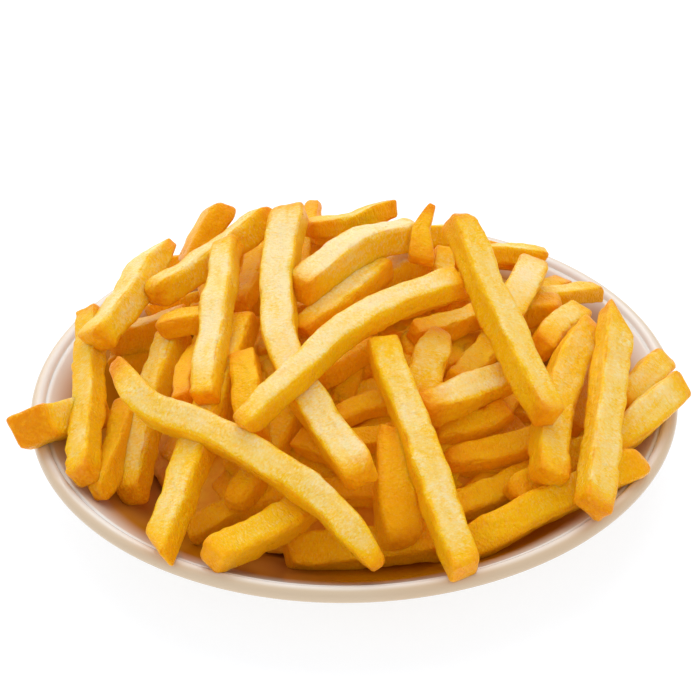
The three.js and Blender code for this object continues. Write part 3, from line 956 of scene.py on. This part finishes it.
def fried_material():
    """Fried potato. Its tone is how golden the place is, plus patches, freckles that come and go,
    and streaks along the fry. Pale specks, painted glints, lie on pale places, and crisp orange
    brown takes over where it is browned. Wrinkles and blisters stand in low relief."""
    nodes = Nodes("fried_crust")
    grain = nodes.attribute("grain", "Vector")
    golden = nodes.attribute("golden")
    fine = nodes.stretched(grain, (1.25, 0.75, 0.75))
    fibres = nodes.stretched(grain, (0.1, 0.4, 0.4))

    patches = nodes.mottle(grain, 0.08, -0.14, 0.14)
    frosted = nodes.spread(nodes.noise(grain, 0.13, 2.0), 0.35, 0.65, 0.3, 1.0)
    freckles = nodes.math("MULTIPLY", nodes.mottle(fine, 1.1, 0.28, -0.28, roughness=0.7), frosted)
    streaks = nodes.mottle(fibres, 1.0, -0.1, 0.1)
    tone = nodes.math("ADD", golden, patches)
    tone = nodes.math("ADD", tone, nodes.math("ADD", freckles, streaks))
    colour = nodes.ramp(tone, CRUST_TONES)

    # Painted glints: pale specks on pale places.
    glints = nodes.spread(nodes.noise(fine, 1.5, 2.0, 0.5), 0.54, 0.66, 0.0, 0.5)
    paleness = nodes.spread(golden, 0.1, 0.8, 1.0, 0.15)
    colour = nodes.mix(nodes.math("MULTIPLY", glints, paleness), colour, PAINTED_GLINT)

    speckle = nodes.mottle(grain, 0.55, 0.45, 1.4, detail=4.0, roughness=0.7)
    regions = nodes.spread(nodes.noise(grain, 0.06, 2.0), 0.35, 0.65, 0.5, 1.5)
    crisp = nodes.math("MULTIPLY", nodes.attribute("browned"), speckle)
    crisp = nodes.spread(nodes.math("MULTIPLY", crisp, regions), 0.2, 1.1, 0.0, 0.9)
    colour = nodes.mix(crisp, colour, CRISP)

    wrinkles = nodes.bump(nodes.noise(fine, 1.3, 3.0, 0.6), 0.0006, 1.0)
    blisters = nodes.bump(nodes.noise(grain, 0.35, 3.0, 0.5), 0.0012, 0.6, wrinkles)
    return nodes.finish(
        {
            "Base Color": colour,
            # Painted light: the crust glows faintly in its own colour, which lifts its shade.
            "Emission Color": colour,
            "Roughness": nodes.mottle(grain, 0.3, 0.26, 0.42),
            "Normal": blisters,
        },
        {
            "Subsurface Weight": 0.6,
            "Subsurface Radius": (1.0, 0.6, 0.15),
            "Subsurface Scale": 0.003,
            "Specular IOR Level": 0.35,
            "Specular Tint": OIL_SHEEN,
            # Strength of the painted glow.
            "Emission Strength": 0.06,
        },
    )


def core_material():
    """The inside of the heap: dark orange, painted shade that stands in for crust deep in the heap,
    mottled over a few millimetres.
    """
    nodes = Nodes("deep_shade_crust")
    place = nodes.place()
    colour = nodes.ramp(nodes.noise(place, 260.0), CORE_SHADE_TONES)
    lumps = nodes.bump(nodes.noise(place, 500.0), 0.001, 0.6)
    return nodes.finish({"Base Color": colour, "Normal": lumps}, {"Roughness": 0.7})


def glaze_material():
    """White glaze with faint cloudiness and ripple: painted beige shade below the lip, and painted
    amber shade and reflection of the fries towards the middle, unevenly where the cloudiness is."""
    nodes = Nodes("white_glaze")
    place = nodes.place()
    cloud = nodes.noise(place, 14.0, 2.0)
    # Painted beige shade below the lip.
    colour = nodes.mix(nodes.attribute("lip_shade"), nodes.ramp(cloud, GLAZE_TONES), LIP_SHADE_TONE)
    uneven = nodes.spread(cloud, *NOISE_RANGE, -0.1, 0.14)
    # Painted amber shade and reflection of the fries towards the middle, uneven with the cloud.
    fry_shaded = nodes.math("ADD", nodes.attribute("fry_shaded"), uneven, clamp=True)
    colour = nodes.mix(fry_shaded, colour, AMBER_FRY_SHADE)
    ripple = nodes.bump(nodes.noise(place, 45.0, 2.0), 0.0006, 0.2)
    return nodes.finish(
        {"Base Color": colour, "Roughness": nodes.mottle(place, 60.0, 0.07, 0.13), "Normal": ripple},
        {"Specular IOR Level": 0.18, "Coat Weight": 0.12, "Coat Roughness": 0.04},
    )


def floor_material():
    """Matt white studio paper, barely mottled, that glows a little so its shadows stay light."""
    nodes = Nodes("studio_paper")
    colour = nodes.ramp(nodes.noise(nodes.place(), 3.0, 2.0), PAPER_TONES)
    return nodes.finish(
        {"Base Color": colour},
        {"Roughness": 0.9, "Emission Color": (1, 1, 1, 1), "Emission Strength": 0.63},
    )


# ---------------------------------------------------------------- studio

CAMERA_DISTANCE = 0.8
CAMERA_ELEVATION = math.radians(34.13)
CAMERA_ROLL = math.radians(-1.791)
CAMERA_TARGET = Vector((-0.000653, 0.0, 0.037776))
LENS = 141.19
LIT_PLACE = Vector((0, 0, 0.03))
ROOM_BRIGHTNESS = 0.80
FLOOR_HALF = 4.0


def add_camera():
    """A long lens that looks down on the plate, turned a little about its own axis."""
    data = bpy.data.cameras.new("camera")
    data.lens = LENS
    data.sensor_width = 36
    back = Vector((0, -math.cos(CAMERA_ELEVATION), math.sin(CAMERA_ELEVATION)))
    up = Vector((0, math.sin(CAMERA_ELEVATION), math.cos(CAMERA_ELEVATION)))
    right = Vector((1, 0, 0))
    right_rolled = right * math.cos(CAMERA_ROLL) + up * math.sin(CAMERA_ROLL)
    up_rolled = up * math.cos(CAMERA_ROLL) - right * math.sin(CAMERA_ROLL)
    camera = bpy.data.objects.new("camera", data)
    place = CAMERA_TARGET + back * CAMERA_DISTANCE
    turn = Matrix((right_rolled, up_rolled, back)).transposed().to_4x4()
    camera.matrix_world = Matrix.Translation(place) @ turn
    bpy.context.scene.collection.objects.link(camera)
    bpy.context.scene.camera = camera


def add_light(name, place, size, power):
    """A square soft box that faces the heap."""
    data = bpy.data.lights.new(name, "AREA")
    data.shape = "SQUARE"
    data.size = size
    data.energy = power
    light = bpy.data.objects.new(name, data)
    light.location = place
    light.rotation_euler = (LIT_PLACE - Vector(place)).to_track_quat("-Z", "Y").to_euler()
    bpy.context.scene.collection.objects.link(light)


def add_studio():
    """White paper, a soft box high up behind, another further back at the left, and a white
    room."""
    half = FLOOR_HALF
    corners = np.array([[-half, -half, 0], [half, -half, 0], [half, half, 0], [-half, half, 0]])
    floor = new_piece("floor", corners, [[0, 1, 2, 3]], floor_material(), smooth=False)
    add_light("key_light", (0.05, 0.5, 1.0), 1.0, 4.4)
    add_light("back_light", (-0.4, 1.0, 0.6), 0.8, 3.0)
    world = bpy.data.worlds.new("room")
    world.use_nodes = True
    backdrop = world.node_tree.nodes["Background"]
    backdrop.inputs["Color"].default_value = (1, 1, 1, 1)
    backdrop.inputs["Strength"].default_value = ROOM_BRIGHTNESS
    bpy.context.scene.world = world
    bpy.context.scene.view_settings.view_transform = "Standard"


# ---------------------------------------------------------------- the object

add_camera()
add_studio()

laying = Draws(SEED)
shown_fries = [
    Fry(thickness, points, laying, golden, ends) for thickness, golden, ends, *points in SHOWN
]
rule_fries = lay_by_rule(shown_fries, laying)
settle(shown_fries, rule_fries)

finishing = Draws(SEED + 1)
for fry in rule_fries:
    fry.golden = finishing.between(*RULE_GOLD)

fried = fried_material()
pieces = [
    make_fries("fries_on_top", shown_fries, finishing, fried),
    make_fries("fries_between", rule_fries, finishing, fried),
    make_fries("fries_deep", sunk_fries(finishing), finishing, fried, DEEP_STATIONS),
    make_core(core_material(), finishing),
]
for piece in pieces:
    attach(piece, "root")
    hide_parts("fries")

plate = make_plate(glaze_material())
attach(plate, "root")
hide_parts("plate")
